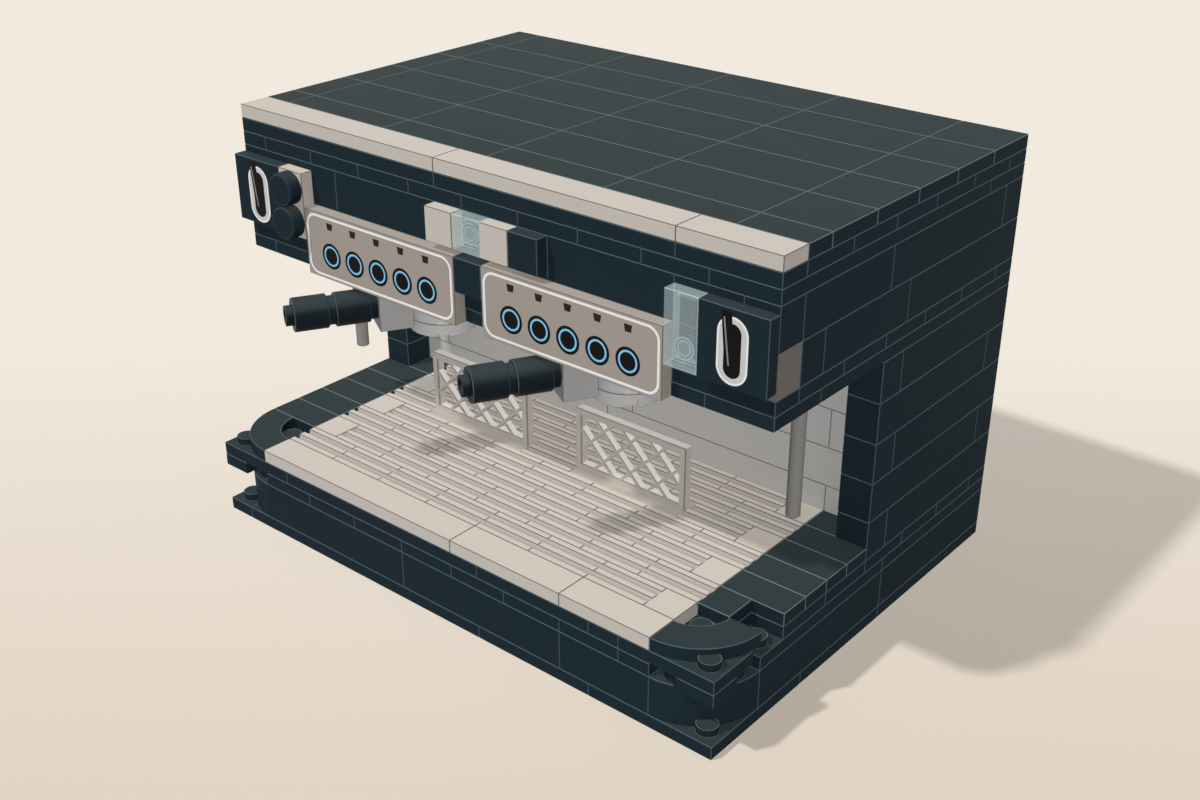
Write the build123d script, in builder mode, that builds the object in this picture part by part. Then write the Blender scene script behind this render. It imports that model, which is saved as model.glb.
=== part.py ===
"""A toy espresso machine put together from stud-and-socket building blocks.

Frame: millimetres, +Z up, +X to the viewer's right, the front towards -Y. The origin is on the
table, under the middle of the footprint. Tables of blocks are counted on the block grid: x and y
in studs from the front left corner, z in plates from the table.
"""

from build123d import *

import os
from functools import lru_cache
from math import sqrt

os.makedirs("parts", exist_ok=True)

# Block grid
PITCH = 8.0            # from stud to stud
PLATE = 3.2            # height of a plate or a tile
STUD_D = 4.8           # stud diameter
STUD_H = 1.7           # stud height
BAR_D = 3.2            # bars and the hollow of a hollow stud
SIDE_STUD_UP = 5.6     # height of a side stud's centre above its brick's foot
BLOCK_FIT = 0.02       # gap left all round a block
STUD_FIT = 0.1         # clearance between a stud and its socket
EDGE = 0.15            # bevel on a block's edges
BRICK = 3              # plates in a brick's height

# The machine, counted on the grid: shares of the stud pitch in x and y, of the plate in z
WIDE_SHARE = 19
DEEP_SHARE = 14
DECK_SHARE = 4         # foot of the two decks of the base
TRAY_SHARE = 6         # foot of the walls and of the tray's tiles
HEAD_SHARE = 21        # underside of the head
LOW_COURSE_SHARE = 23  # feet of the head's two courses of bricks
HIGH_COURSE_SHARE = 26
ROOF_SHARE = 29        # foot of the roof's plates
FACE_SHARE = 2         # front of the head
INNER_SHARE = 8        # front of the pale wall behind the groups
BACK_SHARE = 13        # front of the back wall

# Base: rows as (y, depth), columns as (x, width), blocks as (x, y, width, depth)
BASE_ROW_SHARES = [(0, 4), (4, 4), (8, 4), (12, 2)]
BASE_JOINT_SHARES = [1, 11, 15]
RING_SHARES = (17, 2)
BASE_SIDE_SHARES = [(18, 2, 1, 6), (18, 8, 1, 6)]
BASE_FRONT_SHARES = [(2, 0, 6, 1), (8, 0, 6, 1), (14, 0, 3, 1)]
BASE_INNER_SHARES = [(4, 3, 2, 4), (9, 3, 2, 4), (13, 3, 2, 4), (4, 8, 2, 4), (9, 8, 2, 4),
                     (13, 8, 2, 4)]
DECK_SIDE_SHARES = [(17, 2, 2, 6), (17, 8, 2, 6)]
DECK_STRIP_SHARES = [(2, 2), (4, 2), (6, 2), (8, 2), (10, 2), (12, 2), (14, 2), (16, 1)]
DECK_STRIP_JOINT_SHARES = [8]
DECK_FRONT_SHARES = [(3, 0, 8, 2), (11, 0, 4, 2), (15, 0, 1, 2), (0, 2, 8, 1), (8, 2, 8, 1),
                     (16, 2, 2, 1)]
DECK_ROW_SHARES = [(3, 2), (7, 2), (11, 2)]
DECK_BETWEEN_SHARES = [(5, 2), (9, 2), (13, 1)]
CORNER_PLATE_SHARES = (17.5, 1)
CORNER_FOOT_SHARES = (18.5, 0.5)
CORNER_FOOT_LEFT_SHARES = (0.5, 0.5)

# Tiles on the base
ARM_RIGHT_SHARES = [(17, 2, 1, 1), (17, 3, 2, 1), (17, 4, 2, 1), (17, 5, 2, 1), (17, 6, 2, 1),
                    (17, 7, 1, 1)]
ARM_LEFT_SHARES = [(0, 2, 2, 1), (0, 3, 2, 1), (0, 4, 2, 1), (0, 5, 2, 1), (0, 6, 2, 1), (1, 7, 1, 1)]
TRAY_FRONT_SHARES = [(2, 0, 8, 1), (10, 0, 4, 1), (14, 0, 3, 1)]
GRILLE_ODD_SHARES = [2, 4, 6, 8, 10, 12, 14]
GRILLE_EVEN_SHARES = [3, 5, 7, 9, 11, 13, 15]
GRILLE_FENCE_SHARES = [2, 8, 14]
TRAY_ODD_SHARES = [1, 3, 7]
TRAY_EVEN_SHARES = [2, 4, 6]
TRAY_END_SHARES = [(16, 1, 1, 1), (2, 2, 1, 1), (16, 3, 1, 1), (2, 4, 1, 1), (16, 5, 1, 1), (2, 6, 1, 1),
                   (16, 7, 1, 1)]
FENCE_Y_SHARE = 5
FENCE_X_SHARES = {"left": 4, "right": 10}

# Walls
SIDE_COLUMN_SHARES = [(18, 1)]
SIDE_FRONT_SHARE = 7
SIDE_EVEN_JOINT_SHARES = [8]
SIDE_ODD_JOINT_SHARES = [13]
BACK_ROW_SHARES = [(BACK_SHARE, 1)]
BACK_EVEN_JOINT_SHARES = [9, 17]
BACK_ODD_JOINT_SHARES = [8, 16]
INNER_ROW_SHARES = [(INNER_SHARE, 1)]
INNER_EVEN_JOINT_SHARES = [9, 17]
INNER_ODD_JOINT_SHARES = [2, 10]

# Head
END_STRIP_SHARES = [(17, 2)]
FLOOR_END_JOINT_SHARES = [4]
ROOF_END_JOINT_SHARES = [12]
HEAD_STRIP_SHARES = [(0, 1), (1, 2), (3, 2), (5, 2), (7, 2), (9, 2), (11, 2), (13, 2), (15, 2)]
HEAD_STRIP_JOINT_SHARES = [8]
HEAD_ROW_SHARES = [(2, 1), (5, 2), (9, 2), (13, 1)]
HEAD_ROW_JOINT_SHARES = [8, 16]
HEAD_BETWEEN_SHARES = [(3, 2), (7, 2), (11, 2)]
HEAD_BETWEEN_JOINT_SHARES = [3, 11]
FACE_LOW_SHARES = [(1, 2, 1, 1), (2, 2, 1, 1), (3, 2, 4, 1), (7, 2, 2, 1), (9, 2, 1, 1), (10, 2, 4, 1),
                   (14, 2, 2, 1), (16, 2, 1, 1), (17, 2, 1, 1)]
FACE_MIDDLE_SHARES = [(8, 2, 4, 1)]
FACE_CORNER_SHARES = [(0, 2, 1, 1), (18, 2, 1, 1)]
FACE_HIGH_SHARES = [(0, 2, 4, 1), (4, 2, 4, 1), (12, 2, 4, 1), (16, 2, 2, 1), (18, 2, 1, 1)]
HEAD_SIDE_FRONT_SHARE = 3
HEAD_LOW_JOINT_SHARES = [4, 8]
HEAD_HIGH_JOINT_SHARES = [7]
ROOF_EDGE_SHARES = [(0, 2, 8, 1), (8, 2, 8, 1), (16, 2, 3, 1)]
ROOF_ROW_SHARES = [(3, 1), (4, 2), (6, 2), (8, 2), (10, 2), (12, 2)]
ROOF_JOINT_SHARES = [1, 5, 9, 13, 17]

# Upright tiles of the face, as (x, width, height), from the lower edge of a row of side studs
SWITCH_SHARES = [(0, 2, 2), (17, 2, 2)]
PANEL_SHARES = {"left": (3, 6, 2), "right": (10, 6, 2)}
FACE_LOW_DARK_SHARES = [(9, 1, 1)]
FACE_HIGH_DARK_SHARES = [(11, 1, 1)]
FACE_PALE_SHARES = [(8, 1, 1), (10, 1, 1)]
FACE_CLEAR_SHARES = [(9, 1, 1)]
SIDE_CLEAR_SHARES = [(16, 1, 2)]
KNOB_PLATE_SHARES = [(2, 1, 2)]
KNOB_SHARES = {"knob_lower": (2.5, 0), "knob_upper": (2.5, 1)}

# Coffee groups and steam wands
GROUP_X_SHARES = {"left": 6, "right": 13}
GROUP_Y_SHARE = 4
WAND_X_SHARES = {"left": 1.15, "right": 17.85}
WAND_Y_SHARE = 4.95

# Drip tray and fences
GRILLE_STUDS = 2
GRILLE_BARS = 3
GRILLE_DEEP = 1.0      # depth of the grooves between the bars
FENCE_PLATES = 6
FENCE_STUDS = 4
FENCE_T = 2.4          # thickness of the fence's frame
FENCE_RAIL = 1.4       # width of its rails
LATTICE_W = 0.7        # width of a lattice bar
LATTICE_T = 1.8        # thickness of the lattice
LATTICE_COUNT = 4

# Knobs on the face
KNOB_IN = 0.1          # a knob's rim stays this far inside its cell
KNOB_FIT = 0.05
KNOB_RUN = 0.05        # running gap behind a knob
KNOB_EDGE = 0.3

# Coffee groups
GROUP_IN = 0.1         # a group's round plates stay this far inside their cells
GROUP_NOTCH_W = 2.8    # notches in the rims of the round plates
GROUP_NOTCH_DEEP = 1.4
GROUP_NOTCH_UP_SHARE = 0.55
GROUP_GAP = 0.2        # running gap above the basket
PIN_L = 4.0            # pivot pin below the mount
PIN_FIT = 0.05
BASKET_PLATES = 2
HANDLE_UP = 4.3        # height of the handle's axis above the basket's foot
HANDLE_TURN = 30.0     # handles stand this far to the left of straight ahead
GRIP_NECK_IN = 0.6     # step from a grip's barrel to its neck
GRIP_NECK_L = 1.7
GRIP_COUNT = 2
STEM_INSET = 4.0       # how far the stem goes into the basket
STEM_FIT = 0.03

# Steam wands
WAND_L = 32.2          # from the head's underside to the wand's tip
WAND_FIT = 0.05
SOCKET_IN = 0.1        # a wand socket is this much smaller all round than a cell
SOCKET_H = 4.8

STUD_R = STUD_D / 2
BAR_R = BAR_D / 2
WALL = (PITCH - STUD_D) / 2 - STUD_FIT
SOCKET_DEEP = STUD_H + STUD_FIT
SKIN = PLATE - SOCKET_DEEP
TUBE_R = PITCH * sqrt(2) / 2 - STUD_R - STUD_FIT
POST_R = PITCH / 2 - STUD_R - STUD_FIT
RING_R = PITCH + PITCH
RING_IN_R = PITCH * sqrt(2) / 2 + STUD_R + STUD_FIT
ARM = PITCH + PITCH / 2
KNOB_R = PITCH / 2 - KNOB_IN
GROUP_R = PITCH - GROUP_IN
SOCKET_R = PITCH / 2 - SOCKET_IN
HEAD_Z = HEAD_SHARE * PLATE
WAND_TIP_Z = HEAD_Z - WAND_L
BASKET_TOP = HEAD_Z - PLATE - GROUP_GAP
BASKET_FOOT = HEAD_Z - PLATE - BASKET_PLATES * PLATE
HANDLE_Z = BASKET_FOOT + HANDLE_UP
HOLDER_W = PITCH
HOLDER_H = BRICK * PLATE
HOLDER_Z = HANDLE_Z - SIDE_STUD_UP + HOLDER_H / 2  # the handle leaves it at a side stud's height
HOLDER_NEAR = GROUP_R
HOLDER_FAR = HOLDER_NEAR + HOLDER_W
GRIP_R = PITCH / 2
GRIP_L = BRICK * PLATE
GRIP_END = HOLDER_FAR + GRIP_COUNT * GRIP_L
STEM_START = GROUP_R - STEM_INSET
BASE = (Align.CENTER, Align.CENTER, Align.MIN)


def spot(x, y, z, turn=(0, 0, 0)):
    """Place a point of the block grid, in studs and plates, in the machine's frame."""
    return Location(((x - WIDE_SHARE / 2) * PITCH, (y - DEEP_SHARE / 2) * PITCH, z * PLATE), turn)


@lru_cache(maxsize=None)
def block(nx, ny, plates=1, studs=True, side_studs=False, round_corner=False, posts=True):
    """A hollow block, nx by ny studs, centred over the origin: a plate, a brick or, bare, a tile."""
    length, width, height = nx * PITCH, ny * PITCH, plates * PLATE
    with BuildPart() as body:
        with BuildSketch():
            Rectangle(length - 2 * BLOCK_FIT, width - 2 * BLOCK_FIT)
        extrude(amount=height)
        if round_corner:
            corner = body.edges().filter_by(Axis.Z).sort_by(lambda edge: edge.center().X + edge.center().Y)
            fillet(corner[-1], PITCH / 2)
        chamfer(body.edges(), EDGE)
        Box(length - 2 * WALL, width - 2 * WALL, height - SKIN, align=BASE, mode=Mode.SUBTRACT)
        if nx > 1 and ny > 1:
            with GridLocations(PITCH, PITCH, nx - 1, ny - 1):
                Cylinder(TUBE_R, height - SKIN, align=BASE)
                Cylinder(STUD_R, height - SKIN, align=BASE, mode=Mode.SUBTRACT)
        elif posts and (nx > 1 or ny > 1):
            with GridLocations(PITCH, PITCH, max(nx - 1, 1), max(ny - 1, 1)):
                Cylinder(POST_R, height - SKIN, align=BASE)
        if studs:
            with Locations((0, 0, height)):
                with GridLocations(PITCH, PITCH, nx, ny):
                    Cylinder(STUD_R, STUD_H, align=BASE)
        if side_studs:
            with Locations(Location((0, BLOCK_FIT - width / 2, SIDE_STUD_UP), (90, 0, 0))):
                with GridLocations(PITCH, PITCH, nx, 1):
                    Cylinder(STUD_R, STUD_H, align=BASE)
    return body.part.solid()


@lru_cache(maxsize=None)
def grille():
    """A tile cut into bars by grooves along its top, open at both ends and bevelled at the rims."""
    tile = block(GRILLE_STUDS, 1, studs=False)
    length, bar = GRILLE_STUDS * PITCH, PITCH / (2 * GRILLE_BARS - 1)
    right = [(bar / 2, -GRILLE_DEEP), (bar / 2, -EDGE), (bar / 2 + EDGE, 0)]
    left = [(-y, z) for y, z in reversed(right)]
    with BuildPart() as body:
        add(tile)
        with BuildSketch(Plane.YZ.offset(-length / 2)):
            with Locations((0, PLATE)):
                with GridLocations(2 * bar, PITCH, GRILLE_BARS - 1, 1):
                    Polygon(*right, *left, align=None)
        extrude(amount=length, mode=Mode.SUBTRACT)
    return body.part.solid()


@lru_cache(maxsize=None)
def quarter_ring(plates, studs):
    """A quarter-round block about the origin, one to two studs out, over +X and -Y."""
    height = plates * PLATE
    with BuildPart() as body:
        with BuildSketch():
            Circle(RING_R - BLOCK_FIT)
            Circle(RING_IN_R, mode=Mode.SUBTRACT)
            with Locations((PITCH + BLOCK_FIT, -PITCH - BLOCK_FIT)):
                Rectangle(RING_R, RING_R, mode=Mode.INTERSECT)
        extrude(amount=height)
        chamfer(body.edges(), EDGE)
        arms = [(ARM, -PITCH / 2), (PITCH / 2, -ARM)]
        if studs:
            with Locations((0, 0, height)):
                with Locations(*arms):
                    Cylinder(STUD_R, STUD_H, align=BASE)
        with Locations(*arms, (ARM, -ARM)):
            Cylinder(STUD_R + STUD_FIT, SOCKET_DEEP, align=BASE, mode=Mode.SUBTRACT)
    return body.part.solid()


@lru_cache(maxsize=None)
def corner_foot():
    """The small corner plate: one square cell, and half a cell more that ends round towards -X."""
    with BuildPart() as body:
        with BuildSketch():
            Rectangle(PITCH - 2 * BLOCK_FIT, PITCH - 2 * BLOCK_FIT)
            with Locations((-PITCH / 2, 0)):
                Circle(PITCH / 2 - BLOCK_FIT)
        extrude(amount=PLATE)
        chamfer(body.edges().filter_by(Plane.XY), EDGE)
        with Locations((0, 0, PLATE)):
            Cylinder(STUD_R, STUD_H, align=BASE)
        with Locations((-PITCH, 0, 0)):
            Cylinder(STUD_R + STUD_FIT, SOCKET_DEEP, align=BASE, mode=Mode.SUBTRACT)
    return body.part.solid()


@lru_cache(maxsize=None)
def fence():
    """A lattice fence that stands on its own one-stud-deep foot."""
    foot = block(FENCE_STUDS, 1, studs=False)
    length, tall = FENCE_STUDS * PITCH - 2 * BLOCK_FIT, (FENCE_PLATES - 1) * PLATE
    with BuildPart() as body:
        add(foot)
        with BuildSketch(Plane.XZ.offset(-FENCE_T / 2)):
            with Locations((0, PLATE + tall / 2)):
                Rectangle(length, tall)
                Rectangle(length - 2 * FENCE_RAIL, tall - 2 * FENCE_RAIL, mode=Mode.SUBTRACT)
        extrude(amount=FENCE_T)
        with BuildSketch(Plane.XZ.offset(-LATTICE_T / 2)):
            with Locations((0, PLATE + tall / 2)):
                for lean in (-45, 45):
                    with GridLocations(PITCH, PITCH, LATTICE_COUNT, 1):
                        Rectangle(LATTICE_W, 2 * tall, rotation=lean)
                Rectangle(length - FENCE_RAIL, tall - FENCE_RAIL, mode=Mode.INTERSECT)
        extrude(amount=LATTICE_T)
    return body.part.solid()


def knob():
    """A round knob that turns on a stud; its open back is at the origin and it faces +Z."""
    with BuildPart() as body:
        Cylinder(KNOB_R, PLATE, align=BASE)
        chamfer(body.edges().sort_by(Axis.Z)[-1], KNOB_EDGE)
        Cylinder(STUD_R + KNOB_FIT, SOCKET_DEEP, align=BASE, mode=Mode.SUBTRACT)
    return body.part.solid()


def notched_round(height, turn=0):
    """A round plate centred over the origin, with a notch in its lower rim on each diagonal."""
    with BuildPart() as body:
        Cylinder(GROUP_R, height, align=BASE)
        chamfer(body.edges(), EDGE)
        with PolarLocations(GROUP_R, 4, start_angle=45 + turn):
            Box(2 * GROUP_NOTCH_DEEP, GROUP_NOTCH_W, PLATE * GROUP_NOTCH_UP_SHARE, align=BASE,
                mode=Mode.SUBTRACT)
    return body.part.solid()


def group_mount():
    """The fixed round plate under the head and the pin that a basket turns on; its top is at the origin."""
    with BuildPart() as body:
        with Locations((0, 0, -PLATE)):
            Cylinder(GROUP_R, PLATE, align=BASE)
        chamfer(body.edges(), EDGE)
        with Locations((0, 0, -PLATE - PIN_L)):
            Cylinder(STUD_R, PIN_L, align=BASE)
    return body.part.solid()


def portafilter_basket():
    """The round basket, bored for its pivot pin and, from the front, for the stem."""
    bowl = notched_round(BASKET_TOP - BASKET_FOOT, HANDLE_TURN)
    with BuildPart() as body:
        with Locations((0, 0, BASKET_FOOT)):
            add(bowl)
        with Locations((0, 0, BASKET_TOP - PIN_L)):
            Cylinder(STUD_R + PIN_FIT, PIN_L, align=BASE, mode=Mode.SUBTRACT)
        with Locations(Location((0, -STEM_START, HANDLE_Z), (90, 0, 0))):
            Cylinder(BAR_R + STEM_FIT, GROUP_R, align=BASE, mode=Mode.SUBTRACT)
    return body.part.solid()


def portafilter_spout():
    """The round plate under the basket."""
    return notched_round(PLATE).moved(Location((0, 0, BASKET_FOOT - PLATE)))


def portafilter_holder():
    """The square block between basket and grip, bored along the handle."""
    with BuildPart() as body:
        with Locations((0, -HOLDER_NEAR - HOLDER_W / 2, HOLDER_Z)):
            Box(HOLDER_W - 2 * BLOCK_FIT, HOLDER_W - 2 * BLOCK_FIT, HOLDER_H)
        chamfer(body.edges(), EDGE)
        with Locations(Location((0, -HOLDER_NEAR - HOLDER_W / 2, HANDLE_Z), (90, 0, 0))):
            Cylinder(BAR_R + STEM_FIT, 2 * HOLDER_W, mode=Mode.SUBTRACT)
    return body.part.solid()


def portafilter_stem():
    """The bar that runs from the basket through the holder and into both grips."""
    with BuildPart() as body:
        with Locations(Location((0, -STEM_START, HANDLE_Z), (90, 0, 0))):
            Cylinder(BAR_R, GRIP_END - STEM_START - STUD_H, align=BASE)
    return body.part.solid()


def portafilter_grip(index):
    """One round brick of the grip: a neck, a barrel and a hollow stud, bored for the stem."""
    foot = HOLDER_FAR + index * GRIP_L
    with BuildPart() as body:
        with Locations(Location((0, -foot, HANDLE_Z), (90, 0, 0))):
            Cylinder(GRIP_R - GRIP_NECK_IN, GRIP_L, align=BASE)
        with Locations(Location((0, -foot - GRIP_NECK_L, HANDLE_Z), (90, 0, 0))):
            Cylinder(GRIP_R, GRIP_L - GRIP_NECK_L, align=BASE)
        chamfer(body.edges().filter_by(GeomType.CIRCLE).sort_by(SortBy.RADIUS)[-2:], EDGE)
        with Locations(Location((0, -foot - GRIP_L, HANDLE_Z), (90, 0, 0))):
            Cylinder(STUD_R, STUD_H, align=BASE)
        with Locations(Location((0, -foot, HANDLE_Z), (90, 0, 0))):
            Cylinder(BAR_R + STEM_FIT, GRIP_L + STUD_H, align=BASE, mode=Mode.SUBTRACT)
            if index > 0:
                Cylinder(STUD_R + STUD_FIT, SOCKET_DEEP, align=BASE, mode=Mode.SUBTRACT)
    return body.part.solid()


def wand():
    """A straight steam wand, its tip down."""
    with BuildPart() as body:
        with Locations((0, 0, WAND_TIP_Z)):
            Cylinder(BAR_R, HEAD_Z - WAND_TIP_Z - STUD_FIT, align=BASE)
        chamfer(body.edges(), EDGE)
    return body.part.solid()


def wand_socket():
    """The round socket under the head that a wand turns in."""
    with BuildPart() as body:
        with Locations((0, 0, HEAD_Z - SOCKET_H)):
            Cylinder(SOCKET_R, SOCKET_H, align=BASE)
            chamfer(body.edges(), EDGE)
            Cylinder(BAR_R + WAND_FIT, SOCKET_H, align=BASE, mode=Mode.SUBTRACT)
    return body.part.solid()


def lay(rows, z, plates=1, **kind):
    """Lay blocks given as (x, y, nx, ny) in studs, all with their feet at z plates."""
    return [block(nx, ny, plates, **kind).moved(spot(x + nx / 2, y + ny / 2, z)) for x, y, nx, ny in rows]


def along_x(rows, joints, start=0, end=WIDE_SHARE):
    """Courses that run along X: each (y, ny) in rows is split at the joints."""
    stops = [start, *joints, end]
    return [(a, y, b - a, ny) for y, ny in rows for a, b in zip(stops, stops[1:])]


def along_y(columns, joints, start=0, end=DEEP_SHARE):
    """Strips that run along Y: each (x, nx) in columns is split at the joints."""
    stops = [start, *joints, end]
    return [(x, a, nx, b - a) for x, nx in columns for a, b in zip(stops, stops[1:])]


def mirrored(rows):
    """The same blocks on the other side of the machine."""
    return [(WIDE_SHARE - x - nx, y, nx, ny) for x, y, nx, ny in rows]


def upright(tiles, course, drop=0, studs=False, posts=True):
    """Tiles set upright on the face, hung on the side studs of a course of bricks."""
    pieces = []
    for x, nx, nz in tiles:
        up = course * PLATE + SIDE_STUD_UP - PITCH / 2 + nz * PITCH / 2 - drop
        where = spot(x + nx / 2, FACE_SHARE, 0).position + Vector(0, 0, up)
        pieces.append(block(nx, nz, studs=studs, posts=posts).moved(Location(where, (90, 0, 0))))
    return pieces


def both_sides(piece):
    """A piece of the right side and its mirror image on the left."""
    return [piece, piece.mirror(Plane.YZ)]


def write(label, pieces):
    """Write one node, a group of separate solids, to its STEP file."""
    group = Compound(label=label, children=pieces)
    export_step(group, f"parts/{label}.step")


# Base: bottom plates, one course of bricks with round front corners, two crossed decks of plates
write("base_plates", lay(along_x(BASE_ROW_SHARES, BASE_JOINT_SHARES), 0))
write("base_round_bricks", both_sides(quarter_ring(BRICK, True).moved(spot(*RING_SHARES, 1))))
inside = dict(start=1, end=WIDE_SHARE - 1)
back_even = along_x(BACK_ROW_SHARES, BACK_EVEN_JOINT_SHARES, **inside)
back_odd = along_x(BACK_ROW_SHARES, BACK_ODD_JOINT_SHARES, **inside)
base_walls = BASE_SIDE_SHARES + mirrored(BASE_SIDE_SHARES) + BASE_FRONT_SHARES + back_even
write("base_wall_bricks", lay(base_walls, 1, BRICK))
write("base_inner_bricks", lay(BASE_INNER_SHARES, 1, BRICK))
deck_strips = along_y(DECK_STRIP_SHARES, DECK_STRIP_JOINT_SHARES)
write("deck_lower_plates", lay(DECK_SIDE_SHARES + mirrored(DECK_SIDE_SHARES) + deck_strips, DECK_SHARE))
deck_rows = along_x(DECK_ROW_SHARES, HEAD_ROW_JOINT_SHARES)
deck_rows += along_x(DECK_BETWEEN_SHARES, HEAD_BETWEEN_JOINT_SHARES)
write("deck_upper_plates", lay(DECK_FRONT_SHARES + deck_rows, DECK_SHARE + 1))
corner_plate = block(3, 2, round_corner=True).moved(spot(*CORNER_PLATE_SHARES, DECK_SHARE + 1))
write("corner_upper_plates", both_sides(corner_plate))
corner_feet = [corner_foot().moved(spot(*CORNER_FOOT_SHARES, DECK_SHARE)),
               corner_foot().moved(spot(*CORNER_FOOT_LEFT_SHARES, DECK_SHARE, (0, 0, -90)))]
write("corner_lower_plates", corner_feet)
write("corner_round_tiles", both_sides(quarter_ring(1, False).moved(spot(*RING_SHARES, TRAY_SHARE))))

# Top of the base: dark arm tiles, pale tray front, grille and fences
write("arm_tiles_right", lay(ARM_RIGHT_SHARES, TRAY_SHARE, studs=False))
write("arm_tiles_left", lay(ARM_LEFT_SHARES, TRAY_SHARE, studs=False))
write("tray_front_tiles", lay(TRAY_FRONT_SHARES, TRAY_SHARE, studs=False))
grille_spots = [(x, y) for y in TRAY_ODD_SHARES for x in GRILLE_ODD_SHARES]
grille_spots += [(x, y) for y in TRAY_EVEN_SHARES for x in GRILLE_EVEN_SHARES]
grille_spots += [(x, FENCE_Y_SHARE) for x in GRILLE_FENCE_SHARES]
write("grille_tiles", [grille().moved(spot(x + 1, y + 1 / 2, TRAY_SHARE)) for x, y in grille_spots])
write("tray_end_tiles", lay(TRAY_END_SHARES, TRAY_SHARE, studs=False))
for side, x in FENCE_X_SHARES.items():
    write(f"fence_{side}", [fence().moved(spot(x + FENCE_STUDS / 2, FENCE_Y_SHARE + 1 / 2, TRAY_SHARE))])

# Body: side walls, back wall and the pale wall behind the groups, laid in bond
sides = {"left": [], "right": []}
back_bricks, inner_bricks = [], []
for course, z in enumerate(range(TRAY_SHARE, HEAD_SHARE, BRICK)):
    even = course % 2 == 0
    side_joints = SIDE_EVEN_JOINT_SHARES if even else SIDE_ODD_JOINT_SHARES
    side_rows = along_y(SIDE_COLUMN_SHARES, side_joints, SIDE_FRONT_SHARE)
    sides["right"] += lay(side_rows, z, BRICK)
    sides["left"] += lay(mirrored(side_rows), z, BRICK)
    back_bricks += lay(back_even if even else back_odd, z, BRICK)
    inner_joints = INNER_EVEN_JOINT_SHARES if even else INNER_ODD_JOINT_SHARES
    inner_bricks += lay(along_x(INNER_ROW_SHARES, inner_joints, **inside), z, BRICK)
for side, pieces in sides.items():
    write(f"side_bricks_{side}", pieces)
write("back_bricks", back_bricks)
write("inner_wall_bricks", inner_bricks)

# Head: two crossed floors of plates, two courses of bricks and two crossed roofs of plates
head_strips = along_y(HEAD_STRIP_SHARES, HEAD_STRIP_JOINT_SHARES, FACE_SHARE)
head_rows = along_x(HEAD_ROW_SHARES, HEAD_ROW_JOINT_SHARES)
head_rows += along_x(HEAD_BETWEEN_SHARES, HEAD_BETWEEN_JOINT_SHARES)
floor_end = along_y(END_STRIP_SHARES, FLOOR_END_JOINT_SHARES, FACE_SHARE)
write("floor_lower_plates", lay(floor_end + head_strips, HEAD_SHARE))
write("floor_upper_plates", lay(head_rows, HEAD_SHARE + 1))
face_studs = lay(FACE_LOW_SHARES, LOW_COURSE_SHARE, BRICK, side_studs=True)
face_studs += lay(FACE_MIDDLE_SHARES, HIGH_COURSE_SHARE, BRICK, side_studs=True)
write("face_stud_bricks", face_studs)
write("face_corner_bricks", lay(FACE_CORNER_SHARES, LOW_COURSE_SHARE, BRICK, side_studs=True))
write("face_upper_bricks", lay(FACE_HIGH_SHARES, HIGH_COURSE_SHARE, BRICK))
head_low = along_y(SIDE_COLUMN_SHARES, HEAD_LOW_JOINT_SHARES, HEAD_SIDE_FRONT_SHARE)
head_high = along_y(SIDE_COLUMN_SHARES, HEAD_HIGH_JOINT_SHARES, HEAD_SIDE_FRONT_SHARE, BACK_SHARE)
head_right = lay(head_low, LOW_COURSE_SHARE, BRICK) + lay(head_high, HIGH_COURSE_SHARE, BRICK)
write("head_bricks_right", head_right)
head_left = lay(mirrored(head_low), LOW_COURSE_SHARE, BRICK)
write("head_bricks_left", head_left + lay(mirrored(head_high), HIGH_COURSE_SHARE, BRICK))
head_back = lay(back_even, LOW_COURSE_SHARE, BRICK)
head_back += lay(along_x(BACK_ROW_SHARES, BACK_ODD_JOINT_SHARES), HIGH_COURSE_SHARE, BRICK)
write("head_bricks_back", head_back)
roof_end = along_y(END_STRIP_SHARES, ROOF_END_JOINT_SHARES, FACE_SHARE)
write("roof_lower_plates", lay(roof_end + head_strips, ROOF_SHARE))
write("roof_upper_plates", lay(head_rows, ROOF_SHARE + 1))
write("roof_front_tiles", lay(ROOF_EDGE_SHARES, ROOF_SHARE + 2, studs=False))
write("roof_tiles", lay(along_x(ROOF_ROW_SHARES, ROOF_JOINT_SHARES), ROOF_SHARE + 2, studs=False))

# Face: tiles set upright on the side studs, and two knobs that turn on studs of their own
write("switch_tiles", upright(SWITCH_SHARES, LOW_COURSE_SHARE))
for side, panel in PANEL_SHARES.items():
    write(f"panel_{side}", upright([panel], LOW_COURSE_SHARE, PITCH))
dark_tiles = upright(FACE_LOW_DARK_SHARES, LOW_COURSE_SHARE)
dark_tiles += upright(FACE_HIGH_DARK_SHARES, HIGH_COURSE_SHARE)
write("face_dark_tiles", dark_tiles)
write("face_pale_tiles", upright(FACE_PALE_SHARES, HIGH_COURSE_SHARE))
write("face_clear_tile", upright(FACE_CLEAR_SHARES, HIGH_COURSE_SHARE))
write("side_clear_tile", upright(SIDE_CLEAR_SHARES, LOW_COURSE_SHARE, posts=False))
write("knob_plate", upright(KNOB_PLATE_SHARES, LOW_COURSE_SHARE, studs=True))
for label, (x, row) in KNOB_SHARES.items():
    up = LOW_COURSE_SHARE * PLATE + SIDE_STUD_UP + row * PITCH
    where = spot(x, FACE_SHARE, 0).position + Vector(0, -PLATE - KNOB_RUN, up)
    write(label, [knob().moved(Location(where, (90, 0, 0)))])

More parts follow.
